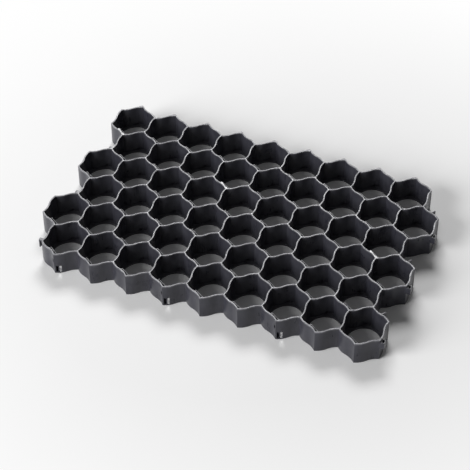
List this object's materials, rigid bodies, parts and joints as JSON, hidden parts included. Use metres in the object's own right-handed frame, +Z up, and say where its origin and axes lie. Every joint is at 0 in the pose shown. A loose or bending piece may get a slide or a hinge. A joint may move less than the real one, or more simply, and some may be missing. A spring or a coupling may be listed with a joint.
{
  "type": "grass paver grid",
  "caption": "Plastic honeycomb grid with wavy walls that is laid on the ground and filled with soil and grass or gravel",
  "frame": {"origin": "centre of the footprint, on the underside", "axes": "+X along the rows of cells, +Y back across the rows, +Z up out of the ground"},
  "size_m": [0.6097, 0.404, 0.04],
  "materials": {
    "black_plastic": "satin black, moulded"
  },
  "bodies": {
    "root": {"paver_grid": "black_plastic"}
  },
  "joints": []
}
